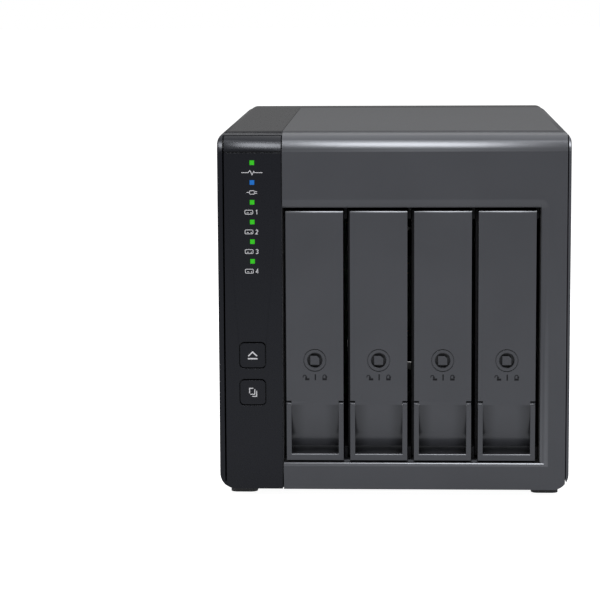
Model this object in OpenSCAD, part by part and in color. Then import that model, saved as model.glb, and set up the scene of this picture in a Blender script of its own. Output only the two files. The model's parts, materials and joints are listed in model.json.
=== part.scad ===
// Four-bay desktop drive enclosure with pull-out trays.
// +Z is up, the front faces -Y, and the origin is at the middle of the footprint, on the floor.

/* [Body] */
// Overall width, in X
body_w = 160; // [158:1:166]
// Overall depth, in Y
body_d = 219; // [217:1:225]
// Overall height, feet included
body_h = 168.5; // [167:0.5:172]
// Height of the rubber feet
foot_h = 4; // [3:0.5:5]
// Wall thickness of the covers
wall = 1.8; // [1.6:0.1:2]
// Radius of the long top edges
top_r = 5.2; // [4:0.1:6]
// Radius of the long bottom edges
bottom_r = 7.3; // [6:0.1:8]
// Radius of the front-top edge
front_r = 9; // [7:0.5:10]
// Place of the seam between the black and the grey side, in X
seam_x = -50.6; // [-50.9:0.1:-50.5]
// Visible width of the left wall's front edge
left_edge = 2.3; // [2:0.1:2.5]
// Visible width of the right wall's front edge
right_edge = 1.2; // [1:0.1:1.4]
// Groove between the left wall and the control column
left_groove = 0.7; // [0.5:0.05:0.8]
// Groove between the right wall and the front frame
right_groove = 0.45; // [0.3:0.05:0.6]

/* [Drive bays] */
// Number of trays
tray_count = 4; // [4:1:4]
// Centre of the first tray, in X
first_tray_x = -36.15; // [-36.3:0.05:-36]
// Distance between two trays
tray_pitch = 29.22; // [29.1:0.02:29.3]
// Width of a tray's face
face_w = 26.1; // [25.9:0.1:26.2]
// Lower edge of the trays
tray_z0 = 17.4; // [17.2:0.1:17.6]
// Upper edge of the trays
tray_z1 = 132.4; // [132.2:0.1:132.5]
// Lower edge of the bay opening
bay_z0 = 16.4; // [16:0.1:16.4]
// Upper edge of the bay opening
bay_z1 = 134; // [133.8:0.1:134.2]
// Right edge of the bay opening, in X
bay_x1 = 66.6; // [66.6:0.1:67]
// Depth of the tray behind its face
tray_len = 161.5; // [161.2:0.1:162]

/* [Tray handle] */
// Width of a handle leg
leg_w = 2.2; // [2:0.1:2.3]
// Thickness of the handle
leg_t = 3; // [2.8:0.1:3]
// Height of the handle's bottom bar
bar_h = 2.9; // [2.6:0.1:3]
// Level of the seam above the handle
handle_z = 44.6; // [44:0.1:45]
// Radius of the finger scoop's rolling surface
scoop_r = 42; // [40:0.5:44]
// Radius of the hinge pins
pin_r = 0.8; // [0.7:0.05:0.9]
// Running clearance of the hinge pins and shafts
fit = 0.05; // [0.04:0.01:0.08]

/* [Tray lock] */
// Level of the lock's axis
lock_z = 63.9; // [60:0.1:66]
// Radius of the turning key socket
lock_r = 3.6; // [3.5:0.1:3.7]
// Outer radius of the ring round the lock
lock_ring_r = 5.3; // [5.2:0.05:5.4]
// Side of the square post that the key fits over
post_w = 4.1; // [3.8:0.1:4.2]

/* [Control column] */
// Middle of the status lights, in X
light_x = -64.3; // [-65:0.1:-64]
// Level of the top status light
light_z = 154.6; // [154:0.1:155]
// Distance between two status lights
light_pitch = 9; // [8.8:0.1:9.2]
// Side of a square status light
light_w = 2; // [1.8:0.1:2.2]
// Level of the eject button
eject_z = 66.3; // [66:0.1:68]
// Level of the copy button
copy_z = 49.1; // [48:0.1:50]
// Width of the front buttons
button_w = 11.3; // [11:0.1:11.6]
// Travel of every push button
button_travel = 1; // [0.8:0.1:1]

/* [Rear] */
// Distance from the front to the rear bezel
rear_step = 191; // [190:1:192]
// Width of the square fan
fan_w = 120; // [120:1:120]
// Thickness of the fan
fan_t = 25; // [25:1:25]
// Middle of the fan, in X
fan_x = 14.5; // [14:0.5:15]
// Middle of the fan, in Z
fan_z = 86; // [85:0.5:87]
// Distance between the fan's holes
fan_hole_pitch = 105; // [105:1:105]
// Middle of the port column, in X
port_x = -62; // [-63:0.5:-61]

/* [Hidden] */
$fn = 96;
body_nodes = ["left_shell", "right_shell", "front_bezel", "control_column", "front_board",
    "led_chips", "light_pipes_green", "light_pipe_blue", "cage_top_plate", "cage_bottom_plate",
    "cage_side_plates", "guide_rails", "backplane_board", "drive_connectors", "controller_board",
    "controller_chips", "tact_switches", "rear_bezel", "rear_panel", "fan_frame", "fan_rotor",
    "fan_screws", "rear_board", "usb_c_port", "dc_jack", "dip_switch_block", "rubber_feet",
    "housing_screws", "eject_button", "copy_button", "power_button", "set_button"];
tray_parts = ["carrier", "face", "clips", "handle", "hinge_pins", "lock"];

over = 1;

// Body
front = -body_d / 2;
rear = body_d / 2;
half_w = body_w / 2;
bezel_d = front_r;
cap_d = 3.4;
cap_gap = 0.4;
rear_y = front + rear_step;
board_t = 1.6;

// Drive bay and cage
bay_x0 = seam_x;
backplane_y = front + 169;
cage_t = 1.2;
cage_y0 = front + bezel_d + 0.3;
cage_y1 = backplane_y - 0.2;
cage_x0 = bay_x0 - cage_t;

// Trays
face_y = front + 1.2;
face_t = 3;
face_edge = face_w / 2;
tray_front = front + 11.8;
tray_back = front + tray_len;
drive_z = (tray_z0 + tray_z1) / 2;
plate_t = 1.2;
rail_t = 2.2;
rail_z0 = tray_z0 + 0.2;
rail_z1 = tray_z1 - 0.2;
pivot_y = face_y + leg_t / 2;
pivot_z = handle_z - leg_t / 2;
leg_x = face_edge - leg_w;
leg_gap = 0.3;
scoop_x = leg_x - 0.05;
scoop_z0 = 23.1;
scoop_back = tray_front - 1.5;
pocket_z0 = tray_z0 + bar_h + 0.2;
rim = 1.5;
pin_hold = 2.9;

// Control column and its buttons
column_x1 = seam_x - 0.5;
column_x0 = -half_w + left_edge + left_groove;
panel_y = front + 0.5;
button_x = -64.6;
button_gap = 0.55;
button_r = 1.8;
front_board_y = front + 11;
led_t = 1;
controller_x = -55.4;

// Tact switches behind the buttons
tact_w = 6;
tact_t = 2;
tact_top = 0.8;
tact_r = 1.6;
switch_gap = 0.1;

// Rear panel and its ports
panel_t = 2;
rear_panel_y = front + 212;
panel_face = rear_panel_y + panel_t;
rear_board_y = rear_panel_y - 11.6;
board_face = rear_board_y + board_t;
fan_y = rear_panel_y - fan_t;
slot_z = 150;
slot_w = 7;
slot_h = 3;
dip_z = 132;
dip_w = 11.6;
dip_h = 6;
dip_pitch = 3.4;
power_z = 112;
power_r = 4;
usb_z = 92;
usb_w = 8.94;
usb_h = 3.26;
set_z = 69;
set_r = 1.8;
dc_z = 36;
dc_r = 5;
port_gap = 0.3;

// Screws
post_screw_x = 72;
post_screw_z = [12, 161];
screw_r = 1.5;
m4_r = 2;

function tray_x(i) = first_tray_x + tray_pitch * (i - 1);
function dip_x(i) = port_x + (i - 2) * dip_pitch;

// ---- shared shapes ----

// Solid between two corners.
module block(low, high) {
    translate(low) cube(high - low);
}

// Straight cylinder along Y, from y0 to y1.
module rod_y(x, z, y0, y1, r) {
    translate([x, y1, z]) rotate([90, 0, 0]) cylinder(h = y1 - y0, r = r);
}

// Straight cylinder along X, from x0 to x1.
module rod_x(y, z, x0, x1, r) {
    translate([x0, y, z]) rotate([0, 90, 0]) cylinder(h = x1 - x0, r = r);
}

// Rounded rectangle, w wide and h high, about the origin.
module round_rect(w, h, r) {
    square([w - 2 * r, h], center = true);
    square([w, h - 2 * r], center = true);
    for (sx = [-1, 1])
        for (sz = [-1, 1])
            translate([sx * (w / 2 - r), sz * (h / 2 - r)]) circle(r = r);
}

// Rounded rectangle in XZ, extruded along Y from y0 to y1.
module round_block_y(x, z, w, h, r, y0, y1) {
    translate([x, y1, z]) rotate([90, 0, 0]) linear_extrude(y1 - y0) round_rect(w, h, r);
}

// Front outline of the body, drawn in by inset.
module body_outline(inset) {
    z0 = foot_h;
    z1 = body_h;
    translate([-half_w + top_r, z0 + bottom_r]) square([body_w - 2 * top_r, z1 - z0 - bottom_r - inset]);
    translate([-half_w + bottom_r, z0 + inset]) square([body_w - 2 * bottom_r, z1 - z0 - 2 * inset]);
    translate([-half_w + inset, z0 + bottom_r]) square([body_w - 2 * inset, z1 - z0 - bottom_r - top_r]);
    for (side = [-1, 1]) {
        translate([side * (half_w - top_r), z1 - top_r]) circle(r = top_r - inset);
        translate([side * (half_w - bottom_r), z0 + bottom_r]) circle(r = bottom_r - inset);
    }
}

// What the rounded front-top edge takes off a body drawn in by inset.
module front_edge_waste(inset) {
    translate([-body_w, front + front_r, body_h - front_r])
        rotate([90, 0, 90])
            linear_extrude(2 * body_w)
                difference() {
                    translate([-front_r - over, 0]) square(front_r + over);
                    circle(r = front_r - inset);
                }
}

// Body drawn in by inset, from y0 to y1.
module body_solid(inset, y0, y1) {
    difference() {
        translate([0, y1, 0]) rotate([90, 0, 0]) linear_extrude(y1 - y0) body_outline(inset);
        front_edge_waste(inset);
    }
}

// Everything between two places in X.
module x_slab(x0, x1) {
    block([x0, front - over, 0], [x1, rear + over, body_h + over]);
}

// ---- casing ----

// One side cover: a wall that reaches the front, where it shows an edge of the given width,
// and behind sheet_y its share of the top and the bottom.
module side_shell(side, seam, sheet_y, edge) {
    edge_x = side * (half_w - edge);
    difference() {
        intersection() {
            body_solid(0, front, rear_y);
            x_slab(min(seam, side * (half_w + over)), max(seam, side * (half_w + over)));
        }
        body_solid(wall, sheet_y, rear_y + over);
        block([min(seam - over, edge_x), front - over, 0],
            [max(seam + over, edge_x), sheet_y + 0.01, body_h + over]);
    }
}

// The black cover. Its edge fills the groove beside the column at the bottom corner.
module left_shell() {
    sheet_y = front + cap_d + cap_gap;
    edge_x = -half_w + left_edge;
    fill_z = foot_h + bottom_r / 2;
    overlap = 0.1;
    color("#1d1e21") {
        side_shell(-1, seam_x - 0.15, sheet_y, left_edge);
        intersection() {
            body_solid(0, front, sheet_y + overlap);
            block([edge_x - overlap, front - over, 0], [column_x0 - 0.05, sheet_y + over, fill_z]);
        }
    }
}

module right_shell() {
    color("#4a4b4f") side_shell(1, seam_x, front + bezel_d, right_edge);
}

// Bay opening with its rounded lips, which turn round the upper right corner.
module bay_cut() {
    lip_w = 3.9;
    lip_r = 5.5;
    low_w = 1.6;
    low_r = 2.6;
    corner_r = 0.4;
    corner_x = bay_x1 - corner_r;
    corner_z = bay_z1 - corner_r;
    y0 = front - over;
    y1 = front + bezel_d + over;
    difference() {
        intersection() {
            linear_extrude(body_h) {
                translate([bay_x0 - over, y0]) square([bay_x1 - bay_x0 + over, y1 - y0]);
                difference() {
                    translate([bay_x0 - over, y0]) square([bay_x1 + lip_w - bay_x0 + over, lip_r + over]);
                    translate([bay_x1 + lip_w, front + lip_r]) circle(r = lip_r);
                }
            }
            translate([-body_w, 0, 0]) rotate([90, 0, 90]) linear_extrude(2 * body_w) {
                translate([y0, bay_z0]) square([y1 - y0, bay_z1 - bay_z0]);
                difference() {
                    translate([y0, bay_z0]) square([lip_r + over, bay_z1 + lip_w - bay_z0]);
                    translate([front + lip_r, bay_z1 + lip_w]) circle(r = lip_r);
                }
                difference() {
                    translate([y0, bay_z0 - low_w]) square([low_r + over, low_w + over]);
                    translate([front + low_r, bay_z0 - low_w]) circle(r = low_r);
                }
            }
        }
        block([corner_x, y0 - over, corner_z], [half_w, y1 + over, body_h]);
    }
    translate([corner_x, y1, corner_z]) rotate([90, 0, 0]) rotate_extrude() {
        square([corner_r, y1 - y0]);
        difference() {
            translate([0, y1 - front - lip_r]) square([corner_r + lip_w, lip_r + over]);
            translate([corner_r + lip_w, y1 - front - lip_r]) circle(r = lip_r);
        }
    }
}

// Grey front frame, with small stops between the trays and a hidden post behind the control column.
module front_bezel() {
    skin = 3;
    frame_x1 = half_w - right_edge - right_groove;
    post_x0 = seam_x - 2.4;
    post_x1 = seam_x - 0.2;
    post_y = front + cap_d + 0.2;
    post_z = [10, 160];
    tie_x0 = seam_x + 0.5;
    tie_x1 = seam_x + 4;
    tie_y = front + 2;
    tie_z = bay_z1 + 1;
    tie_h = 3;
    stop_gap = 0.25;
    stop_y = [front + 1.8, front + 4.5];
    color("#4a4b4f") {
        difference() {
            intersection() {
                body_solid(0, front, front + bezel_d);
                x_slab(seam_x, frame_x1);
            }
            difference() {
                body_solid(wall, front + skin, front + bezel_d + over);
                x_slab(frame_x1 - wall, half_w);
            }
            bay_cut();
        }
        block([post_x0, post_y, post_z[0]], [post_x1, front + bezel_d, post_z[1]]);
        for (z = [post_z[0], tie_z]) {
            block([post_x0, post_y, z], [tie_x1, front + bezel_d, z + tie_h]);
            block([tie_x0, tie_y, z], [tie_x1, post_y, z + tie_h]);
        }
        for (i = [1:tray_count - 1])
            block([tray_x(i) + face_edge + stop_gap, stop_y[0], bay_z0 - over],
                [tray_x(i + 1) - face_edge - stop_gap, stop_y[1], tray_z0]);
    }
}

// Black front panel with its cap, light holes and button holes.
module control_column() {
    gap_z = 159.4;
    gap_h = 0.8;
    gap_d = 1.2;
    skin = 2.4;
    hole_w = light_w + 0.2;
    color("#1d1e21") difference() {
        intersection() {
            body_solid(0, front, front + cap_d);
            x_slab(column_x0, column_x1);
        }
        body_solid(wall, front + skin, front + cap_d + over);
        block([-half_w, front - over, 0], [seam_x, panel_y, gap_z]);
        block([-half_w, front - over, gap_z - gap_h / 2], [seam_x, front + gap_d, gap_z + gap_h / 2]);
        for (i = [0:5])
            translate([light_x - hole_w / 2, front - over, light_z - i * light_pitch - hole_w / 2])
                cube([hole_w, cap_d + 2 * over, hole_w]);
        for (z = [eject_z, copy_z])
            round_block_y(button_x, z, button_w + 2 * button_gap, button_w + 2 * button_gap,
                button_r + button_gap, front - over, front + cap_d);
    }
}

module rear_bezel() {
    step = 0.5;
    rear_wall = 2.2;
    post = 9;
    post_y = front + 198;
    thread_r = screw_r - 0.2;
    color("#2a2b2e") difference() {
        union() {
            difference() {
                body_solid(step, rear_y, rear);
                body_solid(step + rear_wall, rear_y - over, rear + over);
            }
            intersection() {
                body_solid(step, post_y, rear_panel_y);
                for (sx = [-1, 1])
                    for (z = post_screw_z)
                        translate([sx * (post_screw_x + 1) - post / 2, post_y, z - post])
                            cube([post, rear_panel_y - post_y, 2 * post]);
            }
        }
        for (sx = [-1, 1])
            for (z = post_screw_z)
                rod_y(sx * post_screw_x, z, rear_panel_y - post, rear_panel_y + over, thread_r);
    }
}

// The four holes for the fan's screws, from y0 to y1.
module fan_holes(y0, y1) {
    for (sx = [-1, 1])
        for (sz = [-1, 1])
            rod_y(fan_x + sx * fan_hole_pitch / 2, fan_z + sz * fan_hole_pitch / 2, y0, y1, m4_r + 0.15);
}

// Ring-shaped slots and spokes of the fan grille.
module grille_cut(y0, y1) {
    first_r = 14;
    last_r = 56;
    ring_step = 7;
    slot = 4.6;
    spoke_w = 3;
    spoke_turn = 30;
    difference() {
        for (r = [first_r:ring_step:last_r])
            difference() {
                rod_y(fan_x, fan_z, y0, y1, r + slot);
                rod_y(fan_x, fan_z, y0 - over, y1 + over, r);
            }
        for (a = [0:60:120])
            translate([fan_x, (y0 + y1) / 2, fan_z]) rotate([0, a + spoke_turn, 0])
                cube([2 * (last_r + ring_step), y1 - y0 + 2 * over, spoke_w], center = true);
    }
}

module rear_panel() {
    margin = 2.8;
    cut_y = rear_panel_y - over;
    end_y = panel_face + over;
    color("#232427") difference() {
        body_solid(margin, rear_panel_y, panel_face);
        grille_cut(cut_y, end_y);
        fan_holes(cut_y, end_y);
        for (sx = [-1, 1])
            for (z = post_screw_z)
                rod_y(sx * post_screw_x, z, cut_y, end_y, screw_r + 0.1);
        round_block_y(port_x, usb_z, usb_w + 2 * port_gap, usb_h + 2 * port_gap, usb_h / 2, cut_y, end_y);
        rod_y(port_x, dc_z, cut_y, end_y, dc_r + port_gap);
        rod_y(port_x, power_z, cut_y, end_y, power_r + port_gap);
        rod_y(port_x, set_z, cut_y, end_y, set_r + port_gap);
        block([port_x - dip_w / 2 - port_gap, cut_y, dip_z - dip_h / 2 - port_gap],
            [port_x + dip_w / 2 + port_gap, end_y, dip_z + dip_h / 2 + port_gap]);
        round_block_y(port_x, slot_z, slot_w, slot_h, 1, cut_y, end_y);
    }
}

// Four pads that fill the space under the rounded bottom edges.
module rubber_feet() {
    foot_w = 12.4;
    foot_l = 20;
    side_gap = 4;
    foot_y = [front + 22, rear_y - 16];
    color("#141414") difference() {
        for (side = [-1, 1])
            for (y = foot_y)
                translate([side * (half_w - side_gap - foot_w / 2), y, 0])
                    linear_extrude(foot_h + 1) round_rect(foot_w, foot_l, 3);
        body_solid(0, front, rear);
    }
}

// Screw along Y with its head towards the rear.
module screw_y(x, z, head_y, r, length, head_r, head_t) {
    cross_l = head_r * 1.2;
    cross_w = 0.7;
    difference() {
        union() {
            rod_y(x, z, head_y - length, head_y, r);
            rod_y(x, z, head_y, head_y + head_t, head_r);
        }
        for (a = [0, 90])
            translate([x, head_y + head_t, z]) rotate([0, a, 0])
                cube([cross_l, head_t, cross_w], center = true);
    }
}

module fan_screws() {
    bite = 10;
    head_r = 3.6;
    head_t = 1.6;
    color("#9a9a9a") for (sx = [-1, 1])
        for (sz = [-1, 1])
            screw_y(fan_x + sx * fan_hole_pitch / 2, fan_z + sz * fan_hole_pitch / 2,
                panel_face, m4_r, panel_t + bite, head_r, head_t);
}

module housing_screws() {
    bite = 8;
    head_r = 2.8;
    head_t = 1.4;
    color("#9a9a9a") for (sx = [-1, 1])
        for (z = post_screw_z)
            screw_y(sx * post_screw_x, z, panel_face, screw_r - 0.25, panel_t + bite, head_r, head_t);
}

// ---- drive cage ----

module cage_top_plate() {
    color("#5d6063") block([bay_x0, cage_y0, bay_z1], [bay_x1, cage_y1, bay_z1 + cage_t]);
}

module cage_bottom_plate() {
    color("#5d6063") block([bay_x0, cage_y0, bay_z0 - cage_t], [bay_x1, cage_y1, bay_z0]);
}

// Two upright plates that stand between the covers' bottom and top.
module cage_side_plates() {
    color("#5d6063") for (x = [cage_x0, bay_x1])
        block([x, cage_y0, foot_h + wall], [x + cage_t, cage_y1, body_h - wall]);
}

// Ribs that keep the trays apart, along the top and the bottom of the cage.
module guide_rails() {
    rib_w = 1.4;
    rib_h = 5.9;
    rib_l = 147;
    color("#141416") for (i = [1:tray_count])
        for (z = [bay_z0, bay_z1 - rib_h])
            translate([tray_x(i) + face_edge + 0.3, cage_y0, z]) cube([rib_w, rib_l, rib_h]);
}

module backplane_board() {
    air_w = 8;
    air_h = 26;
    air_r = 2;
    air_z = [36, 105];
    color("#1e4d33") difference() {
        block([bay_x0 - 1, backplane_y, bay_z0 + 1], [bay_x1, backplane_y + board_t, bay_z1 - 1]);
        for (i = [1:tray_count - 1])
            for (z = air_z)
                round_block_y(tray_x(i) + tray_pitch / 2, z, air_w, air_h, air_r,
                    backplane_y - over, backplane_y + board_t + over);
    }
}

// One drive connector for each tray, facing the front.
module drive_connectors() {
    depth = 6;
    width = 5.6;
    length = 42;
    end_wall = 3;
    key_w = 1.4;
    color("#101010") for (i = [1:tray_count])
        difference() {
            block([tray_x(i) - width / 2, backplane_y - depth, drive_z - length / 2],
                [tray_x(i) + width / 2, backplane_y, drive_z + length / 2]);
            block([tray_x(i) - key_w / 2, backplane_y - depth - over, drive_z - length / 2 + end_wall],
                [tray_x(i) + key_w / 2, backplane_y - 2, drive_z + length / 2 - end_wall]);
        }
}

// ---- electronics ----

module front_board() {
    board_x = [-75, -56];
    board_z = [38, 160];
    color("#1e4d33")
        block([board_x[0], front_board_y, board_z[0]], [board_x[1], front_board_y + board_t, board_z[1]]);
}

module led_chips() {
    chip = 3;
    color("#e8e6d8") for (i = [0:5])
        translate([light_x - chip / 2, front_board_y - led_t, light_z - i * light_pitch - chip / 2])
            cube([chip, led_t, chip]);
}

// One square light pipe, from the chip to the panel's front.
module light_pipe(i) {
    translate([light_x - light_w / 2, panel_y - 0.05, light_z - i * light_pitch - light_w / 2])
        cube([light_w, front_board_y - led_t - 0.1 - panel_y, light_w]);
}

module light_pipes_green() {
    color("#47b42d") for (i = [0, 2, 3, 4, 5]) light_pipe(i);
}

module light_pipe_blue() {
    color("#1772c4") light_pipe(1);
}

// Tact switches: two on the front board and two on the rear board.
module tact_switches() {
    color("#c4c4c4") {
        for (z = [eject_z, copy_z]) {
            translate([button_x - tact_w / 2, front_board_y - tact_t, z - tact_w / 2])
                cube([tact_w, tact_t, tact_w]);
            rod_y(button_x, z, front_board_y - tact_t - tact_top, front_board_y - tact_t, tact_r);
        }
        for (z = [power_z, set_z]) {
            translate([port_x - tact_w / 2, board_face, z - tact_w / 2]) cube([tact_w, tact_t, tact_w]);
            rod_y(port_x, z, board_face + tact_t, board_face + tact_t + tact_top, tact_r);
        }
    }
}

module controller_board() {
    board_y0 = front + 22;
    board_z = [20, 152];
    color("#1e4d33")
        block([controller_x, board_y0, board_z[0]], [controller_x + board_t, rear_board_y, board_z[1]]);
}

// Upright board across the rear, which carries the ports and the rear switches.
module rear_board() {
    board_w = 20;
    board_h = 118;
    board_z = 24;
    color("#1e4d33")
        translate([port_x - board_w / 2, rear_board_y, board_z]) cube([board_w, board_t, board_h]);
}

// Chips, capacitors and a finned heat sink on the controller board's outer side.
module controller_chips() {
    chips = [[40, 70, 14, 14], [12, 100, 9, 9], [60, 110, 6, 12]];
    chip_t = 1.2;
    can_r = 4;
    can_l = 9;
    can_y = [20, 34, 48];
    can_z = 40;
    sink = [8, 26, 26];
    sink_y = -24;
    sink_z = 66;
    fin_y = 3.2;
    fin_pitch = 5;
    fin_gap = 2.6;
    base_t = 2;
    color("#151515") {
        for (c = chips)
            translate([controller_x - chip_t, c[0], c[1]]) cube([chip_t, c[2], c[3]]);
        for (y = can_y)
            rod_x(y, can_z, controller_x - can_l, controller_x, can_r);
        translate([controller_x - sink[0], sink_y, sink_z]) difference() {
            cube(sink);
            for (k = [0:4])
                translate([-over, fin_y + k * fin_pitch - fin_gap / 2, -over])
                    cube([sink[0] - base_t + over, fin_gap, sink[2] + 2 * over]);
        }
    }
}

// Metal shell of the port with its tongue.
module usb_c_port() {
    shell_t = 0.3;
    end_r = usb_h / 2 - 0.01;
    tongue_w = 6.7;
    tongue_t = 0.7;
    mouth_d = 7;
    color("#b9bbbd") {
        difference() {
            round_block_y(port_x, usb_z, usb_w, usb_h, end_r, board_face, panel_face);
            round_block_y(port_x, usb_z, usb_w - 2 * shell_t, usb_h - 2 * shell_t, end_r - shell_t,
                panel_face - mouth_d, panel_face + over);
        }
        block([port_x - tongue_w / 2, panel_face - mouth_d - over, usb_z - tongue_t / 2],
            [port_x + tongue_w / 2, panel_face - 0.8, usb_z + tongue_t / 2]);
    }
}

// Round power inlet with its centre pin.
module dc_jack() {
    mouth_r = 3.2;
    mouth_d = 9;
    pin = 1.2;
    color("#111111") {
        difference() {
            union() {
                rod_y(port_x, dc_z, rear_panel_y - over, panel_face, dc_r);
                block([port_x - dc_r, board_face, dc_z - dc_r],
                    [port_x + dc_r, rear_panel_y - port_gap, dc_z + dc_r]);
            }
            rod_y(port_x, dc_z, panel_face - mouth_d, panel_face + over, mouth_r);
        }
        rod_y(port_x, dc_z, panel_face - mouth_d - over, panel_face - 1, pin);
    }
}

// DIP switch body with one open channel for each lever.
module dip_switch_block() {
    end_y = rear_panel_y + 1;
    channel_w = 1.6;
    channel_h = 4;
    channel_d = 2.5;
    color("#a12a24") difference() {
        block([port_x - dip_w / 2, board_face, dip_z - dip_h / 2],
            [port_x + dip_w / 2, end_y, dip_z + dip_h / 2]);
        for (i = [1:3])
            translate([dip_x(i) - channel_w / 2, end_y - channel_d, dip_z - channel_h / 2])
                cube([channel_w, channel_d + over, channel_h]);
    }
}

// Small lever at the lower end of its channel.
module dip_lever(i) {
    lever_w = 1.4;
    lever_l = 3.1;
    lever_h = 1.6;
    lever_y = rear_panel_y - 1.4;
    lever_z = dip_z - 1.9;
    color("white") translate([dip_x(i) - lever_w / 2, lever_y, lever_z]) cube([lever_w, lever_l, lever_h]);
}

// ---- push buttons ----

// Square front button with a flange behind the panel and a stem that reaches its switch.
module front_button(z) {
    flange_w = button_w + 3;
    flange_t = 0.8;
    flange_y = front + 2.7;
    stem_r = 1.5;
    stem_y = front_board_y - tact_t - tact_top - button_travel - switch_gap;
    color("#1b1c1f") {
        round_block_y(button_x, z, button_w, button_w - 0.2, button_r, panel_y - 0.3, flange_y + flange_t);
        round_block_y(button_x, z, flange_w, flange_w, button_r, flange_y, flange_y + flange_t);
        rod_y(button_x, z, flange_y, stem_y, stem_r);
    }
}

// Round rear button with a flange inside the panel and a stem that reaches its switch.
module rear_button(z, r) {
    flange_y = rear_panel_y - 1.8;
    flange_t = 1.2;
    proud = 1.2;
    stem_r = 1.2;
    stem_y = board_face + tact_t + tact_top + button_travel + switch_gap;
    color("#0f0f10") {
        rod_y(port_x, z, flange_y, panel_face + proud, r);
        rod_y(port_x, z, flange_y, flange_y + flange_t, r + 1.2);
        rod_y(port_x, z, stem_y, flange_y + 0.5, stem_r);
    }
}

// ---- fan ----

// Square frame with the motor's seat, its bearing tube and four arms on the rear side.
module fan_frame() {
    bore_r = 58;
    flange_t = 4;
    corner_r = 5;
    seat_r = 19;
    seat_y = rear_panel_y - 4;
    tube_r = 4;
    tube_l = 12;
    arm_w = 5;
    arm_t = 3;
    color("#1a1a1a") {
        difference() {
            union() {
                for (y = [fan_y, rear_panel_y - flange_t])
                    round_block_y(fan_x, fan_z, fan_w, fan_w, corner_r, y, y + flange_t);
                rod_y(fan_x, fan_z, fan_y, rear_panel_y, fan_w / 2);
            }
            rod_y(fan_x, fan_z, fan_y - over, rear_panel_y + over, bore_r);
            fan_holes(fan_y - over, rear_panel_y + over);
        }
        difference() {
            union() {
                rod_y(fan_x, fan_z, seat_y, rear_panel_y - 0.3, seat_r);
                rod_y(fan_x, fan_z, seat_y - tube_l, seat_y, tube_r);
                for (a = [45:90:315])
                    translate([fan_x, seat_y + 0.2, fan_z]) rotate([0, a, 0])
                        translate([0, 0, -arm_w / 2]) cube([bore_r + 0.5, arm_t, arm_w]);
            }
            rod_y(fan_x, fan_z, seat_y - tube_l - over, seat_y - 1, screw_r + fit);
        }
    }
}

// Seven-blade rotor with its hub cap and shaft.
module fan_rotor() {
    blades = 7;
    tip_r = 56.5;
    hub_r = 20;
    hub_t = 1.6;
    pitch_deg = 38;
    chord = 30;
    blade_t = 1.8;
    y0 = fan_y + 1.5;
    y1 = rear_panel_y - 6;
    color("#26272a") {
        difference() {
            rod_y(fan_x, fan_z, y0, y1, hub_r);
            rod_y(fan_x, fan_z, y0 + hub_t, y1 + over, hub_r - hub_t);
        }
        rod_y(fan_x, fan_z, y0 + 1, y1, screw_r);
        intersection() {
            rod_y(fan_x, fan_z, y0, y1, tip_r);
            for (k = [0:blades - 1])
                translate([fan_x, (y0 + y1) / 2, fan_z]) rotate([0, k * 360 / blades, 0])
                    rotate([pitch_deg, 0, 0]) translate([hub_r - 1, -chord / 2, -blade_t / 2])
                        cube([tip_r - hub_r + 3, chord, blade_t]);
        }
    }
}

// ---- trays, drawn at the origin and moved to their bays ----

module tray_at(i) {
    translate([tray_x(i), 0, 0]) children();
}

// The same shape on both sides of a tray's middle.
module both_sides() {
    children();
    mirror([1, 0, 0]) children();
}

// Open frame for one drive: front wall, two rails and a side plate with windows.
// The four holes in the plate hold a 2.5 inch drive, 76.6 by 61.72 mm apart.
module tray_carrier(i) {
    plate_x = -face_edge - 1.15;
    rail_x = plate_x + plate_t;
    wall_x = face_edge - 0.05;
    wall_y = tray_front + 0.05;
    wall_t = 1.25;
    window_l = 34;
    window_h = 40;
    window_r = 4;
    window_y = [-66, -22, 22];
    hole_y = [37.1, -39.5];
    hole_z = 30.86;
    hole_r = 1.7;
    color("#161719") tray_at(i) {
        difference() {
            block([plate_x, wall_y, rail_z0], [rail_x, tray_back, rail_z1]);
            for (y = window_y)
                translate([plate_x - over, y, drive_z]) rotate([90, 0, 90])
                    linear_extrude(plate_t + 2 * over) round_rect(window_l, window_h, window_r);
            for (y = hole_y)
                for (side = [-1, 1])
                    rod_x(y, drive_z + side * hole_z, plate_x - over, rail_x + over, hole_r);
        }
        block([rail_x, wall_y, rail_z0], [wall_x, wall_y + wall_t, rail_z1]);
        for (z = [rail_z0, rail_z1 - rail_t])
            block([rail_x, wall_y + wall_t, z], [wall_x, tray_back, z + rail_t]);
    }
}

// Rolling finger scoop: everything in front of a cylinder whose top line is flush with the face.
module scoop_cut() {
    difference() {
        block([-scoop_x, face_y - over, scoop_z0], [scoop_x, scoop_back, handle_z]);
        rod_x(face_y + scoop_r, handle_z, -face_w, face_w, scoop_r);
    }
}

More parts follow.
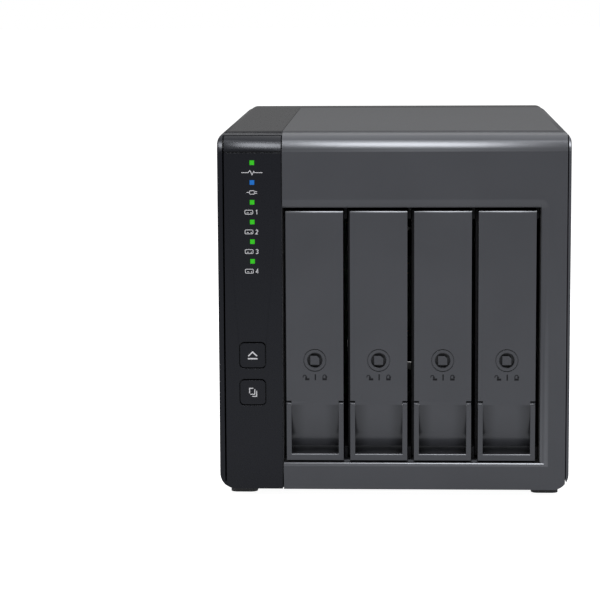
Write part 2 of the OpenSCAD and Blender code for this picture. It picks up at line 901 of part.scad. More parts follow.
// Front of a tray: a hollow plate with the lock ring, the scoop and the channels of the handle.
module tray_face(i) {
    hollow_z0 = handle_z + 3;
    channel_y = face_y + leg_t + leg_gap;
    top_gap = 0.5;
    edge_w = 0.8;
    edge_r = 2;
    ring_d = 0.8;
    ring_w = 0.45;
    color("#4c4d51") tray_at(i) difference() {
        block([-face_edge, face_y, tray_z0], [face_edge, tray_front, tray_z1]);
        block([-face_edge + rim, face_y + face_t, hollow_z0],
            [face_edge - rim, tray_front + over, tray_z1 - rim]);
        difference() {
            block([-face_edge - over, face_y - over, tray_z1 - edge_w],
                [face_edge + over, face_y + edge_r, tray_z1 + over]);
            rod_x(face_y + edge_r, tray_z1 - edge_w, -face_w, face_w, edge_r);
        }
        scoop_cut();
        block([-face_edge - over, face_y - over, tray_z0 - over], [face_edge + over, channel_y, pocket_z0]);
        block([-scoop_x, face_y - over, pocket_z0 - over], [scoop_x, scoop_back, scoop_z0]);
        both_sides() {
            block([scoop_x, face_y - over, tray_z0 - over],
                [face_edge + over, channel_y, handle_z + top_gap]);
            rod_x(pivot_y, pivot_z, scoop_x - pin_hold - 0.1, scoop_x + over, pin_r);
        }
        rod_y(0, lock_z, face_y - over, face_y + face_t + over, lock_r + fit);
        difference() {
            rod_y(0, lock_z, face_y - over, face_y + ring_d, lock_ring_r);
            rod_y(0, lock_z, face_y - 2 * over, face_y + 2 * ring_d, lock_ring_r - ring_w);
        }
    }
}

// Two tool-less strips along each rail, which hold the drive's edges.
module tray_clips(i) {
    strip = [9, 52, 2.4];
    first_y = tray_front + 12;
    step_y = 74;
    color("#2d4a78") tray_at(i)
        for (z = [rail_z0 + rail_t, rail_z1 - rail_t - strip[2]])
            for (k = [0, 1])
                translate([-strip[0] / 2, first_y + k * step_y, z]) cube(strip);
}

// Swing-out handle: two legs on pins and a bar along the bottom.
module tray_handle(i) {
    bar_top = tray_z0 + bar_h;
    edge_w = 0.5;
    edge_r = 0.8;
    color("#4e4f53") tray_at(i) difference() {
        union() {
            both_sides() {
                block([leg_x, face_y, tray_z0], [face_edge, face_y + leg_t, pivot_z]);
                rod_x(pivot_y, pivot_z, leg_x, face_edge, leg_t / 2);
            }
            block([-face_edge, face_y, tray_z0], [face_edge, face_y + leg_t, bar_top]);
        }
        difference() {
            block([-leg_x, face_y - over, bar_top - edge_w], [leg_x, face_y + edge_r, bar_top + over]);
            rod_x(face_y + edge_r, bar_top - edge_w, -face_w, face_w, edge_r);
        }
        both_sides() rod_x(pivot_y, pivot_z, leg_x - over, face_edge + over, pin_r + fit);
    }
}

module tray_hinge_pins(i) {
    color("#a8a8a8") tray_at(i)
        both_sides() rod_x(pivot_y, pivot_z, scoop_x - pin_hold, face_edge - 0.2, pin_r);
}

// Turning key socket with a cut square post and the cam behind the face.
module tray_lock(i) {
    cam_w = 5;
    cam_l = 11;
    cam_t = 1.5;
    shaft_y = face_y + face_t + 2.5;
    recess = 0.15;
    socket_d = 2.4;
    socket_wall = 0.15;
    corner_cut = 1.6;
    color("#3a3b3e") tray_at(i) {
        difference() {
            rod_y(0, lock_z, face_y + recess, shaft_y, lock_r);
            difference() {
                rod_y(0, lock_z, face_y - over, face_y + recess + socket_d, lock_r - socket_wall);
                translate([-post_w / 2, face_y, lock_z - post_w / 2]) cube([post_w, leg_t, post_w]);
            }
            translate([post_w / 2, face_y - over, lock_z + post_w / 2]) rotate([0, 45, 0])
                translate([-corner_cut / 2, 0, -corner_cut / 2])
                    cube([corner_cut, over + recess + socket_d, corner_cut]);
        }
        translate([-cam_w / 2, shaft_y, lock_z + cam_w / 2 - cam_l]) cube([cam_w, cam_t, cam_l]);
    }
}

left_shell();
right_shell();
front_bezel();
control_column();
front_board();
led_chips();
light_pipes_green();
light_pipe_blue();
cage_top_plate();
cage_bottom_plate();
cage_side_plates();
guide_rails();
backplane_board();
drive_connectors();
controller_board();
controller_chips();
tact_switches();
rear_bezel();
rear_panel();
fan_frame();
fan_rotor();
fan_screws();
rear_board();
usb_c_port();
dc_jack();
dip_switch_block();
rubber_feet();
housing_screws();
front_button(eject_z);  // eject_button
front_button(copy_z);  // copy_button
rear_button(power_z, power_r);  // power_button
rear_button(set_z, set_r);  // set_button
for (i = [1:3])
    dip_lever(i);
for (i = [1:tray_count]) {
    tray_carrier(i);
    tray_face(i);
    tray_clips(i);
    tray_handle(i);
    tray_hinge_pins(i);
    tray_lock(i);
}
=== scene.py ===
"""Looks of a four-bay desktop drive enclosure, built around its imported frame.

The CAD parts keep their shapes and get soft edges and moulded, painted or metal surfaces.
Printed symbols and the fan's curved blades are made here and ride on the CAD bodies.
"""
import json
import math

import bmesh
import bpy
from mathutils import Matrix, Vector


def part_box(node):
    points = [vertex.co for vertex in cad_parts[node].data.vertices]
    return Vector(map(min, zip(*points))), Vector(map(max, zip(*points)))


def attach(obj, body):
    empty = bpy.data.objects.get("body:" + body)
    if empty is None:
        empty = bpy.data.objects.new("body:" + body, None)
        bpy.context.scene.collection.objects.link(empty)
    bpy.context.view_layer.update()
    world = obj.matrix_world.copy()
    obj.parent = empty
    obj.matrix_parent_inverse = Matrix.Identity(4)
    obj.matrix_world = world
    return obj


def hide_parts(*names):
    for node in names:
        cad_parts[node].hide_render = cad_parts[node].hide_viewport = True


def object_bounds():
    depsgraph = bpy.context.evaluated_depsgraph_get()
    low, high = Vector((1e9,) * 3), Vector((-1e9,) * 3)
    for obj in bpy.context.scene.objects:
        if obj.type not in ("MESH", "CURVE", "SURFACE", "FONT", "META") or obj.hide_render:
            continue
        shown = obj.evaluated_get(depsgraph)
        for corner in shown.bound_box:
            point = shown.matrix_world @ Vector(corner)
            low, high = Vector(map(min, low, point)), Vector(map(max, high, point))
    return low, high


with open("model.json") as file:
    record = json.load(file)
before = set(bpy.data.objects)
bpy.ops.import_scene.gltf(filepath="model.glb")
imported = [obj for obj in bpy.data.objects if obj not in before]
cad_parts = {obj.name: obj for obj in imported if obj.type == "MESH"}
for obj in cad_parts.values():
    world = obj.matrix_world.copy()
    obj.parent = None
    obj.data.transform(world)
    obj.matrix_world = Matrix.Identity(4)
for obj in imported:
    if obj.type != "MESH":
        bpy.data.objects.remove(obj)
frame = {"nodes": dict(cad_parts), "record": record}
cad_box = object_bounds()

MM = 0.001
NODES = frame["nodes"]
NODE_SLOT = {s["node"]: s["material_slot"] for s in frame["record"]["subparts"]}
TRAYS = sorted(n[:-len("_face")] for n in NODES if n.startswith("tray_") and n.endswith("_face"))
TRAY_FACES = [tray + "_face" for tray in TRAYS]


# ---- camera, light and stage ----

def add_camera():
    """A long lens a little above the top and to the right of the middle."""
    data = bpy.data.cameras.new("camera")
    data.lens = 142.53
    data.sensor_width = 36.0
    data.clip_end = 60.0
    camera = bpy.data.objects.new("camera", data)
    camera.location = (0.0064, -1.1809, 0.2402)
    camera.rotation_euler = tuple(math.radians(a) for a in (82.129, 0.317, 2.582))
    bpy.context.scene.collection.objects.link(camera)
    bpy.context.scene.camera = camera


def add_softbox(name, place, target, size, watts):
    """A rectangular area light that faces a target."""
    data = bpy.data.lights.new(name, "AREA")
    data.shape = "RECTANGLE"
    data.size, data.size_y = size
    data.energy = watts
    light = bpy.data.objects.new(name, data)
    light.location = place
    aim = Vector(target) - Vector(place)
    light.rotation_euler = aim.to_track_quat("-Z", "Y").to_euler()
    light.visible_camera = False
    bpy.context.scene.collection.objects.link(light)


def add_world(strength):
    """Surroundings that look white and light the object evenly with the given strength."""
    world = bpy.data.worlds.new("studio")
    world.use_nodes = True
    tree = world.node_tree
    background = tree.nodes["Background"]
    background.inputs["Color"].default_value = (1.0, 1.0, 1.0, 1.0)
    path = tree.nodes.new("ShaderNodeLightPath")
    level = tree.nodes.new("ShaderNodeMapRange")
    level.inputs["To Min"].default_value = strength
    level.inputs["To Max"].default_value = 1.0
    tree.links.new(path.outputs["Is Camera Ray"], level.inputs["Value"])
    tree.links.new(level.outputs["Result"], background.inputs["Strength"])
    bpy.context.scene.world = world


def add_floor(surface):
    """A round pale floor under the feet."""
    bm = bmesh.new()
    bmesh.ops.create_circle(bm, cap_ends=True, segments=96, radius=9.0)
    floor = bpy.data.objects.new("floor", mesh_from(bm, "floor"))
    floor.data.materials.append(surface)
    bpy.context.scene.collection.objects.link(floor)


# ---- materials ----

FLOOR_GLOW = 0.96
GREY = (0.0190, 0.0197, 0.0226)
BLACK = (0.0024, 0.0026, 0.0038)
COOL_SHINE = (0.90, 0.93, 1.0)


class Shader:
    """A Principled material whose colour, roughness and bump come from object-space noise."""

    def __init__(self, name, rough=0.5, metallic=0.0, specular=0.5):
        self.material = bpy.data.materials.new(name)
        self.material.use_nodes = True
        self.tree = self.material.node_tree
        self.surface = self.tree.nodes["Principled BSDF"]
        self.surface.inputs["Roughness"].default_value = rough
        self.surface.inputs["Metallic"].default_value = metallic
        self.surface.inputs["Specular IOR Level"].default_value = specular
        self.coords = self.tree.nodes.new("ShaderNodeTexCoord")

    def link(self, source, target):
        self.tree.links.new(source, target)

    def stretched(self, factors):
        """Object coordinates scaled along X, Y and Z."""
        mapping = self.tree.nodes.new("ShaderNodeMapping")
        mapping.inputs["Scale"].default_value = factors
        self.link(self.coords.outputs["Object"], mapping.inputs["Vector"])
        return mapping.outputs["Vector"]

    def noise(self, scale, detail=3.0, vector=None):
        """Noise over the piece; scale is in features per metre."""
        node = self.tree.nodes.new("ShaderNodeTexNoise")
        node.inputs["Scale"].default_value = scale
        node.inputs["Detail"].default_value = detail
        self.link(vector or self.coords.outputs["Object"], node.inputs["Vector"])
        return node.outputs["Fac"]

    def cells(self, scale):
        """Distance to the nearest of scattered points."""
        node = self.tree.nodes.new("ShaderNodeTexVoronoi")
        node.inputs["Scale"].default_value = scale
        self.link(self.coords.outputs["Object"], node.inputs["Vector"])
        return node.outputs["Distance"]

    def ramp(self, factor, stops):
        """Colours along a factor, as (place, colour) pairs."""
        node = self.tree.nodes.new("ShaderNodeValToRGB")
        elements = node.color_ramp.elements
        while len(elements) < len(stops):
            elements.new(0.5)
        for element, (place, color) in zip(elements, stops):
            element.position = place
            element.color = (*color, 1.0)
        self.link(factor, node.inputs["Fac"])
        return node.outputs["Color"]

    def vary_rough(self, factor, low, high):
        node = self.tree.nodes.new("ShaderNodeMapRange")
        node.inputs["To Min"].default_value = low
        node.inputs["To Max"].default_value = high
        self.link(factor, node.inputs["Value"])
        self.link(node.outputs["Result"], self.surface.inputs["Roughness"])

    def bump(self, factor, depth, strength=1.0):
        """Raise the surface by up to depth metres; a second call adds to the first."""
        node = self.tree.nodes.new("ShaderNodeBump")
        node.inputs["Strength"].default_value = strength
        node.inputs["Distance"].default_value = depth
        self.link(factor, node.inputs["Height"])
        normal = self.surface.inputs["Normal"]
        if normal.is_linked:
            self.link(normal.links[0].from_socket, node.inputs["Normal"])
        self.link(node.outputs["Normal"], normal)

    def polish_edges(self, flat, edge, top=None):
        """Raise the specular level where an upright face begins to lean back, below object-space Z top."""
        tilt = self.axis("Normal", "Z")
        if top is not None:
            tilt = self.math("MULTIPLY", tilt, self.math("LESS_THAN", self.axis("Object", "Z"), top))
        begins, full, fades, gone = 0.01, 0.12, 0.46, 0.56
        level = self.ramp(tilt, [(begins, (flat,) * 3), (full, (edge,) * 3), (fades, (edge,) * 3),
                                 (gone, (flat,) * 3)])
        self.link(level, self.surface.inputs["Specular IOR Level"])

    def axis(self, kind, letter):
        """One component of the object-space place or normal."""
        split = self.tree.nodes.new("ShaderNodeSeparateXYZ")
        self.link(self.coords.outputs[kind], split.inputs["Vector"])
        return split.outputs[letter]

    def paint_deep_shade(self, color, start):
        """Paint shade over everything behind the given object-space Y, standing in for the shadow inside a
        recess.
        """
        self.blend_base(self.math("GREATER_THAN", self.axis("Object", "Y"), start), color)

    def paint_hollow_shade(self, color, middle, half, start):
        """Paint shade into a hollow, darker towards its two sides, behind the given object-space Y, in
        place of the shadow the legs and walls would cast.
        """
        clear_share = 0.35
        deepest = 0.9
        reach = self.tree.nodes.new("ShaderNodeMapRange")
        reach.interpolation_type = "SMOOTHSTEP"
        reach.inputs["From Min"].default_value = clear_share * half
        reach.inputs["From Max"].default_value = half
        reach.inputs["To Max"].default_value = deepest
        aside = self.math("ABSOLUTE", self.math("SUBTRACT", self.axis("Object", "X"), middle))
        self.link(aside, reach.inputs["Value"])
        behind = self.math("GREATER_THAN", self.axis("Object", "Y"), start)
        self.blend_base(self.math("MULTIPLY", reach.outputs["Result"], behind), color)

    def paint_side_shade(self, color, start):
        """Paint shade on faces that look sideways behind the given object-space Y, standing in for the
        shadow in the gaps between trays.
        """
        least_turn = 0.7
        sideways = self.math("GREATER_THAN", self.math("ABSOLUTE", self.axis("Normal", "X")), least_turn)
        behind = self.math("GREATER_THAN", self.axis("Object", "Y"), start)
        self.blend_base(self.math("MULTIPLY", sideways, behind), color)

    def blend_base(self, factor, color):
        """Mix a colour over the base colour made so far."""
        mix = self.tree.nodes.new("ShaderNodeMix")
        mix.data_type = "RGBA"
        base = self.surface.inputs["Base Color"]
        self.link(factor, mix.inputs["Factor"])
        self.link(base.links[0].from_socket, mix.inputs["A"])
        mix.inputs["B"].default_value = (*color, 1.0)
        self.link(mix.outputs["Result"], base)

    def math(self, operation, *values):
        """Result of a math node on sockets or numbers."""
        node = self.tree.nodes.new("ShaderNodeMath")
        node.operation = operation
        for value, socket in zip(values, node.inputs):
            if isinstance(value, float):
                socket.default_value = value
            else:
                self.link(value, socket)
        return node.outputs["Value"]

    def glow(self, color, strength):
        self.surface.inputs["Emission Color"].default_value = (*color, 1.0)
        self.surface.inputs["Emission Strength"].default_value = strength


def shade(color, amount):
    return tuple(min(1.0, c * amount) for c in color)


def moulded(name, color, rough, grain=1800.0, depth=0.006 * MM, mottle=0.06, specular=0.5, edge=None,
            top=None):
    """Spark-eroded plastic: a fine even grain with a faint broad mottling.

    specular is the level of flat faces and edge the level of rounded edges below top.
    """
    s = Shader(name, rough, specular=specular)
    fine = s.noise(grain, 2.0)
    broad = s.noise(34.0, 4.0)
    s.link(s.ramp(broad, [(0.3, shade(color, 1 - mottle)), (0.7, shade(color, 1 + mottle))]),
           s.surface.inputs["Base Color"])
    s.vary_rough(fine, rough - 0.05, rough + 0.05)
    s.bump(fine, depth)
    s.surface.inputs["Specular Tint"].default_value = (*COOL_SHINE, 1.0)
    if edge is not None:
        s.polish_edges(specular, edge, top)
    return s


def metal(name, color, rough, along=(1.0, 1.0, 1.0), scale=900.0, depth=0.01 * MM):
    """Plated or brushed metal with fine scratches along one direction."""
    s = Shader(name, rough, metallic=1.0)
    lines = s.noise(scale, 4.0, s.stretched(along))
    s.link(s.ramp(lines, [(0.25, shade(color, 0.82)), (0.75, shade(color, 1.1))]),
           s.surface.inputs["Base Color"])
    s.vary_rough(lines, rough - 0.08, rough + 0.12)
    s.bump(lines, depth)
    return s.material


def painted_steel(name, color):
    """Thin powder coat with orange peel."""
    s = Shader(name, 0.55)
    peel = s.noise(420.0, 3.0)
    s.link(s.ramp(peel, [(0.3, shade(color, 0.85)), (0.7, shade(color, 1.2))]),
           s.surface.inputs["Base Color"])
    s.vary_rough(peel, 0.45, 0.65)
    s.bump(peel, 0.05 * MM)
    return s.material


def circuit_board(name):
    """Green solder mask over copper tracks, with scattered plated pads."""
    s = Shader(name, 0.35)
    tracks = s.noise(260.0, 0.0, s.stretched((1.0, 0.25, 1.0)))
    pads = s.cells(330.0)
    mask = s.ramp(tracks, [(0.46, (0.006, 0.060, 0.022)), (0.50, (0.014, 0.115, 0.042)),
                           (0.54, (0.006, 0.060, 0.022))])
    plating = s.ramp(pads, [(0.10, (1.0, 1.0, 1.0)), (0.14, (0.0, 0.0, 0.0))])
    mix = s.tree.nodes.new("ShaderNodeMix")
    mix.data_type = "RGBA"
    s.link(plating, mix.inputs["Factor"])
    s.link(mask, mix.inputs["A"])
    mix.inputs["B"].default_value = (0.55, 0.42, 0.16, 1.0)
    s.link(mix.outputs["Result"], s.surface.inputs["Base Color"])
    s.vary_rough(tracks, 0.28, 0.42)
    s.bump(tracks, 0.04 * MM)
    return s.material


def light_pipe(name, color, strength):
    """Clear pipe lit from behind, a little uneven across its face."""
    s = Shader(name, 0.5, specular=0.15)
    cloud = s.noise(900.0, 1.0)
    s.link(s.ramp(cloud, [(0.2, shade(color, 0.25)), (0.8, shade(color, 0.4))]),
           s.surface.inputs["Base Color"])
    s.bump(cloud, 0.02 * MM)
    s.glow(color, strength)
    return s.material


def floor_paper(name):
    """White studio paper."""
    s = Shader(name, 0.9, specular=0.0)
    fibre = s.noise(60.0, 5.0)
    s.link(s.ramp(fibre, [(0.3, (0.48, 0.48, 0.48)), (0.7, (0.52, 0.52, 0.52))]),
           s.surface.inputs["Base Color"])
    s.bump(fibre, 0.05 * MM)
    s.glow((1.0, 1.0, 1.0), FLOOR_GLOW)
    return s.material


def grey_plastic(name, top=None):
    return moulded(name, GREY, 0.30, specular=0.26, edge=1.0, top=top)


def slot_materials():
    """One surface for each material slot of the record."""
    return {
        "grey_plastic": grey_plastic("grey_plastic").material,
        "black_plastic": moulded("black_plastic", BLACK, 0.28, depth=0.003 * MM, specular=0.115,
                                 edge=0.42).material,
        "dark_plastic": moulded("dark_plastic", (0.004, 0.004, 0.0045), 0.55, specular=0.15).material,
        "chip_black": moulded("chip_black", (0.010, 0.010, 0.011), 0.5, grain=2600.0).material,
        "lock_plastic": moulded("lock_plastic", GREY, 0.40, specular=0.25).material,
        "clip_plastic": moulded("clip_plastic", (0.02, 0.05, 0.2), 0.45).material,
        "switch_red": moulded("switch_red", (0.32, 0.02, 0.018), 0.38).material,
        "switch_white": moulded("switch_white", (0.78, 0.78, 0.75), 0.4).material,
        "led_body": moulded("led_body", (0.7, 0.68, 0.6), 0.35).material,
        "rubber": moulded("rubber", (0.010, 0.010, 0.010), 0.8, grain=1200.0, depth=0.05 * MM).material,
        "cage_steel": painted_steel("cage_steel", (0.006, 0.006, 0.0065)),
        "circuit_board": circuit_board("circuit_board"),
        "green_light": light_pipe("green_light", (0.015, 0.30, 0.002), 1.0),
        "blue_light": light_pipe("blue_light", (0.001, 0.080, 0.30), 1.0),
        "switch_metal": metal("switch_metal", (0.55, 0.55, 0.56), 0.32, along=(1.0, 0.1, 1.0)),
        "screw_steel": metal("screw_steel", (0.5, 0.5, 0.5), 0.3),
    }


SURFACES = slot_materials()
PRINT = moulded("print_white", (0.27, 0.27, 0.28), 0.6, grain=3000.0, specular=0.3).material
DARK_PRINT = moulded("print_dark", (0.002, 0.002, 0.0025), 0.6, grain=3000.0, specular=0.1).material

# Width of the soft edge on each kind of part, in millimetres, by the end of its name.
SOFT_EDGES = {
    "_shell": 0.15, "front_bezel": 0.15, "control_column": 0.2, "rear_bezel": 0.3, "rear_panel": 0.2,
    "_face": 0.14, "_handle": 0.15, "_button": 0.35, "_lock": 0.12, "_carrier": 0.2, "rubber_feet": 0.5,
    "_screws": 0.15, "fan_frame": 0.5, "guide_rails": 0.2, "usb_c_port": 0.08, "dc_jack": 0.15,
    "dip_switch_block": 0.12, "_clips": 0.3, "drive_connectors": 0.2, "controller_chips": 0.15,
}


def soften(node, width):
    """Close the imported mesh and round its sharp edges."""
    weld = node.modifiers.new("weld", "WELD")
    weld.merge_threshold = 0.002 * MM
    bevel = node.modifiers.new("soft_edges", "BEVEL")
    bevel.width = width * MM
    bevel.segments = 3
    bevel.limit_method = "ANGLE"
    bevel.angle_limit = math.radians(35)
    bevel.harden_normals = True


def surface_of(name, node):
    """The surface of a CAD node.

    The trays' faces and handles get painted shade on their sides, their scoops get painted shade towards
    the legs, and their locks get painted shade inside.
    """
    lock_rim = 0.6 * MM
    lit_depth = 0.9 * MM
    bar_zone = 5 * MM
    leg_width = 2.2 * MM
    scoop_start = 0.03 * MM
    low = Vector(min(v.co[k] for v in node.data.vertices) for k in range(3))
    high = Vector(max(v.co[k] for v in node.data.vertices) for k in range(3))
    if name.endswith("_lock"):
        shader = moulded("lock_plastic_" + name, GREY, 0.40, specular=0.25)
        # Painted shade: the lock's socket behind its rim is coloured nearly black in place of the shadow
        # inside it.
        shader.paint_deep_shade(shade(GREY, 0.03), low.y + lock_rim)
    elif name.endswith("_handle"):
        shader = grey_plastic("grey_plastic_" + name, top=low.z + bar_zone)
        # Painted shade: the handle's sideways faces behind its front are coloured dark, as they sit in
        # shadow.
        shader.paint_side_shade(shade(GREY, 0.05), low.y + lit_depth)
    elif name in TRAY_FACES:
        shader = grey_plastic("grey_plastic_" + name)
        half = (high.x - low.x) / 2 - leg_width
        # Painted shade: the scoop is coloured darker towards the legs, as if shadowed by them.
        shader.paint_hollow_shade(shade(GREY, 0.3), (low.x + high.x) / 2, half, low.y + scoop_start)
        # Painted shade: the face's sideways faces behind its front are coloured dark, in place of the
        # shadow in the gaps between trays.
        shader.paint_side_shade(shade(GREY, 0.05), low.y + lit_depth)
    else:
        return SURFACES[NODE_SLOT[name]]
    return shader.material


def dress_cad_nodes():
    for name, node in NODES.items():
        node.data.materials.clear()
        node.data.materials.append(surface_of(name, node))
        for ending, width in SOFT_EDGES.items():
            if name.endswith(ending):
                soften(node, width)


# ---- pieces ----

def mesh_from(bm, name):
    bmesh.ops.recalc_face_normals(bm, faces=bm.faces)
    mesh = bpy.data.meshes.new(name)
    bm.to_mesh(mesh)
    bm.free()
    return mesh


def add_piece(name, bm, body, surface):
    piece = bpy.data.objects.new(name, mesh_from(bm, name))
    piece.data.materials.append(surface)
    bpy.context.scene.collection.objects.link(piece)
    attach(piece, body)
    return piece


def arc(cx, cy, r, start, end, steps=12):
    """Points along a circle, angles in degrees."""
    angles = [math.radians(start + (end - start) * k / steps) for k in range(steps + 1)]
    return [(cx + r * math.cos(a), cy + r * math.sin(a)) for a in angles]


def rounded_box(cx, cy, w, h, r):
    """Outline of a rounded rectangle."""
    points = []
    for quarter, (sx, sy) in enumerate(((1, 1), (-1, 1), (-1, -1), (1, -1))):
        points += arc(cx + sx * (w / 2 - r), cy + sy * (h / 2 - r), r, 90 * quarter, 90 * quarter + 90, 4)
    return points


def ribbon(bm, points, width, closed=False):
    """Flat band along 2-D points, mitred at its corners."""
    sharpest_mitre = 0.35
    count = len(points)
    rows = []
    for k, point in enumerate(points):
        here = Vector(point)
        ahead = Vector(points[(k + 1) % count]) - here if closed or k < count - 1 else None
        behind = here - Vector(points[k - 1]) if closed or k > 0 else None
        a = (ahead or behind).normalized()
        b = (behind or ahead).normalized()
        tangent = (a + b).normalized()
        normal = Vector((-tangent.y, tangent.x))
        reach = width / 2 / max(sharpest_mitre, normal.dot(Vector((-a.y, a.x))))
        rows.append([bm.verts.new((*(here + normal * side * reach), 0.0)) for side in (1, -1)])
    for k in range(count if closed else count - 1):
        near, far = rows[k], rows[(k + 1) % count]
        bm.faces.new((near[0], near[1], far[1], far[0]))


def patch(bm, points):
    """Filled 2-D outline."""
    bm.faces.new([bm.verts.new((x, y, 0.0)) for x, y in points])


def printed(name, draw, place, facing, body, surface, thickness=0.03):
    """A symbol printed on a surface.

    draw(bm) works in millimetres; facing is -1 to the front, +1 to the rear.
    """
    bm = bmesh.new()
    draw(bm)
    raised = bmesh.ops.extrude_face_region(bm, geom=bm.faces[:])["geom"]
    for v in raised:
        if isinstance(v, bmesh.types.BMVert):
            v.co.z = thickness
    for v in bm.verts:
        u, w, lift = v.co
        v.co = Vector(place) + Vector((-facing * u, facing * lift, w)) * MM
    return add_piece(name, bm, body, surface)


# Strokes of the digits in a box one unit wide and two units high.
DIGITS = {
    "1": [[(0.15, 1.55), (0.6, 2.0), (0.6, 0.0)]],
    "2": [arc(0.5, 1.45, 0.5, 160, -35, 8) + [(0.0, 0.0), (1.0, 0.0)]],
    "3": [arc(0.5, 1.5, 0.48, 150, -80, 8) + arc(0.5, 0.5, 0.52, 80, -150, 8)],
    "4": [[(0.8, 0.0), (0.8, 2.0), (0.0, 0.6), (1.05, 0.6)]],
}


def draw_digit(bm, digit, x, y, height, width=0.32):
    scale = height / 2
    for stroke in DIGITS[digit]:
        ribbon(bm, [(x + u * scale, y + v * scale) for u, v in stroke], width)


def draw_pulse(bm):
    """Activity line: flat, one beat, flat."""
    ribbon(bm, [(-4.8, 0), (-1.7, 0), (-0.9, 1.0), (0.1, -1.0), (0.9, 0.55), (1.3, 0), (4.8, 0)], 0.28)


def draw_plug(bm):
    """Cable plug: a body, two prongs and a lead."""
    ribbon(bm, rounded_box(0.0, 0.0, 2.2, 1.6, 0.4), 0.27, closed=True)
    ribbon(bm, [(1.1, 0.4), (2.3, 0.4)], 0.27)
    ribbon(bm, [(1.1, -0.4), (2.3, -0.4)], 0.27)
    ribbon(bm, [(-1.1, 0.0), (-2.5, 0.0)], 0.27)


def draw_drive(digit):
    """Disk drive symbol followed by its bay's number."""
    def draw(bm):
        ribbon(bm, rounded_box(-1.5, 0.0, 3.6, 1.8, 0.4), 0.26, closed=True)
        ribbon(bm, [(-2.5, -0.3), (-1.6, -0.3)], 0.26)
        patch(bm, arc(-0.5, -0.3, 0.26, 0, 315, 7))
        draw_digit(bm, digit, 1.6, -0.95, 1.9)
    return draw


def draw_eject(bm):
    """Upward arrowhead over a bar."""
    ribbon(bm, [(-2.0, -0.35), (0.0, 1.55), (2.0, -0.35)], 0.55)
    ribbon(bm, [(-2.2, -1.55), (2.2, -1.55)], 0.62)


def draw_copy(bm):
    """Three stacked sheets; only the corners that face outwards are drawn."""
    for sheet in ([(-1.51, -0.4), (-1.51, 1.9), (0.2, 1.9)], [(0.86, 1.5), (0.86, -0.86), (-1.15, -0.86)],
                  [(1.72, 0.75), (1.72, -1.83), (-0.32, -1.83)]):
        ribbon(bm, sheet, 0.42)


def draw_padlock(bm, x, shackle):
    """Padlock body at x with the given shackle line."""
    patch(bm, [(x - 1.0, -1.4), (x + 1.0, -1.4), (x + 1.0, -0.45), (x - 1.0, -0.45)])
    ribbon(bm, [(x + u, w) for u, w in shackle], 0.4)


def draw_lock_marks(bm):
    """Open padlock, the key's upright line, closed padlock."""
    opened = [(-0.5, -0.45), (-0.5, 0.25)] + arc(-1.2, 0.25, 0.7, 0, 180, 8) + [(-1.9, -0.1)]
    draw_padlock(bm, -3.5, opened)
    ribbon(bm, [(0.2, -1.4), (0.2, 1.4)], 0.6)
    closed = [(0.75, -0.45), (0.75, 0.35)] + arc(0.0, 0.35, 0.75, 0, 180, 8) + [(-0.75, -0.45)]
    draw_padlock(bm, 4.45, closed)


def draw_power(bm):
    ribbon(bm, arc(0.0, 0.0, 1.5, 120, 420, 20), 0.4)
    ribbon(bm, [(0.0, 0.2), (0.0, 2.0)], 0.4)


def draw_polarity(bm):
    """Centre-positive barrel mark."""
    patch(bm, arc(0.0, 0.0, 0.5, 0, 330, 11))
    ribbon(bm, arc(0.0, 0.0, 1.3, 35, 325, 16), 0.3)
    ribbon(bm, [(-3.4, 0.0), (-1.3, 0.0)], 0.3)
    ribbon(bm, [(0.0, 0.0), (3.4, 0.0)], 0.3)


def middle(node):
    low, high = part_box(node)
    return (low + high) / 2


def print_front_symbols():
    """Symbols under the status lights, on the two buttons and under the trays' locks."""
    label_drop = 4.5 * MM
    print_inset = 0.05 * MM
    green_low, green_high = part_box("light_pipes_green")
    blue = middle("light_pipe_blue")
    top_z = green_high.z - (green_high.x - green_low.x) / 2
    pitch = top_z - blue.z
    print_y = green_low.y + print_inset
    drawings = [draw_pulse, draw_plug] + [draw_drive(d) for d in "1234"]
    for k, draw in enumerate(drawings):
        place = (blue.x, print_y, top_z - k * pitch - label_drop)
        printed(f"light_symbol_{k + 1}", draw, place, -1, "root", PRINT)
    for node, draw in (("eject_button", draw_eject), ("copy_button", draw_copy)):
        low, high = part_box(node)
        place = ((low.x + high.x) / 2, low.y, (low.z + high.z) / 2)
        printed(node + "_symbol", draw, place, -1, node, PRINT)
    marks_drop = 7.85 * MM
    for tray in TRAYS:
        low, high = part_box(tray + "_lock")
        axis_z = high.z - (high.x - low.x) / 2
        place = ((low.x + high.x) / 2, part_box(tray + "_face")[0].y, axis_z - marks_drop)
        printed(tray + "_lock_marks", draw_lock_marks, place, -1, tray, DARK_PRINT)


def print_rear_symbols():
    """Power, polarity and switch numbers beside the ports."""
    face_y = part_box("rear_panel")[1].y
    side = 9.0 * MM
    digit_shift = 0.4 * MM
    digit_rise = 1.2 * MM
    digit_h = 1.6
    digit_stroke = 0.26
    power = middle("power_button")
    inlet = middle("dc_jack")
    printed("power_symbol", draw_power, (power.x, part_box("power_button")[1].y, power.z), 1,
            "power_button", PRINT)
    printed("inlet_symbol", draw_polarity, (inlet.x, face_y, inlet.z + side), 1,
            "root", PRINT)
    for digit in "123":
        lever = middle(f"dip_lever_{digit}")
        place = (lever.x + digit_shift, face_y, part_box("dip_switch_block")[1].z + digit_rise)
        printed(f"switch_number_{digit}",
                lambda bm, d=digit: draw_digit(bm, d, 0.0, 0.0, digit_h, digit_stroke),
                place, 1, "root", PRINT)


def turned(bm, profile, place, steps=64):
    """Solid of revolution about Y from (radius, depth) points; the first and last lie on the axis."""
    rings = []
    for radius, depth in profile:
        count = steps if radius > 0 else 1
        angles = [2 * math.pi * k / steps for k in range(count)]
        rings.append([bm.verts.new((place.x + radius * math.cos(a), depth, place.z + radius * math.sin(a)))
                      for a in angles])
    for near, far in zip(rings, rings[1:]):
        for k in range(steps):
            after = (k + 1) % steps
            corners = [near[k % len(near)], near[after % len(near)],
                       far[after % len(far)], far[k % len(far)]]
            bm.faces.new(list(dict.fromkeys(corners)))


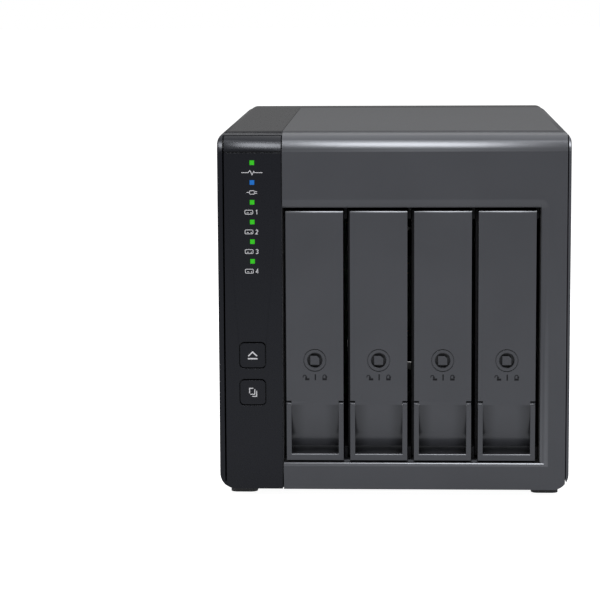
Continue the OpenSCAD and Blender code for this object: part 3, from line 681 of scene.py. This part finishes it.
def fan_blade(bm, place, inner, outer, depth, start, cuts=10):
    """One swept, twisted and cambered blade; start is its angle about Y."""
    thickness = 1.5 * MM
    camber = 1.6 * MM
    sweep = 0.42
    chord = 0.80
    chord_loss = 0.12
    rise_loss = 0.22
    edge_thinning = 3.6
    sides = []
    for side in (-0.5, 0.5):
        rows = []
        for i in range(cuts + 1):
            t = i / cuts
            radius = inner + (outer - inner) * t
            row = []
            for j in range(cuts + 1):
                u = j / cuts - 0.5
                angle = start + sweep * t * t + u * (chord - chord_loss * t)
                taper = math.sqrt(1 - edge_thinning * u * u)
                rise = u * depth * (1 - rise_loss * t) + camber * (1 - 4 * u * u)
                row.append(bm.verts.new((place.x + radius * math.cos(angle),
                                         place.y + rise + side * thickness * taper,
                                         place.z + radius * math.sin(angle))))
            rows.append(row)
        sides.append(rows)
    back, front = sides
    for rows in sides:
        for i in range(cuts):
            for j in range(cuts):
                bm.faces.new((rows[i][j], rows[i + 1][j], rows[i + 1][j + 1], rows[i][j + 1]))
    rim = [(i, 0) for i in range(cuts)] + [(cuts, j) for j in range(cuts)]
    rim += [(i, cuts) for i in range(cuts, 0, -1)] + [(0, j) for j in range(cuts, 0, -1)]
    for (i, j), (m, n) in zip(rim, rim[1:] + rim[:1]):
        bm.faces.new((back[i][j], back[m][n], front[m][n], front[i][j]))


def add_fan_blades():
    """The fan's rotor: a cup-shaped hub with seven curved blades.

    At rest_turn the blades cover nearly all that shows from the front through the slots in the backplane.
    """
    blades = 7
    hub_share = 0.354
    hub_wall = 1.6 * MM
    hub_round = 2.0 * MM
    axle = 1.5 * MM
    rest_turn = -0.15
    root_inset = 0.6 * hub_wall
    blade_share = 0.9
    low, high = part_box("fan_rotor")
    place = (low + high) / 2
    tip = (high.x - low.x) / 2
    hub = hub_share * tip
    profile = [(0.0, low.y)]
    profile += arc(hub - hub_round, low.y + hub_round, hub_round, -90, 0, 5)
    profile += [(hub, high.y), (hub - hub_wall, high.y), (hub - hub_wall, low.y + hub_wall),
                (axle, low.y + hub_wall), (axle, high.y), (0.0, high.y)]
    bm = bmesh.new()
    turned(bm, profile, place)
    for k in range(blades):
        start = rest_turn + 2 * math.pi * k / blades
        fan_blade(bm, place, hub - root_inset, tip, blade_share * (high.y - low.y), start)
    rotor = add_piece("fan_blades", bm, "fan_rotor", SURFACES["dark_plastic"])
    rotor.data.shade_smooth()
    rotor.data.set_sharp_from_angle(angle=math.radians(35))
    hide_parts("fan_rotor")


dress_cad_nodes()
print_front_symbols()
print_rear_symbols()
add_fan_blades()

add_camera()
add_world(0.32)
add_floor(floor_paper("studio_paper"))
top_front = (0.0, cad_box[0][1], cad_box[1][2])
add_softbox("overhead", (0.0, -0.08, 0.85), (0.0, -0.08, 0.1), (1.0, 1.0), 14.0)
add_softbox("edge_box", (0.0, -0.69, 0.554), top_front, (0.44, 0.30), 5.5)

bpy.context.scene.view_settings.view_transform = "Standard"
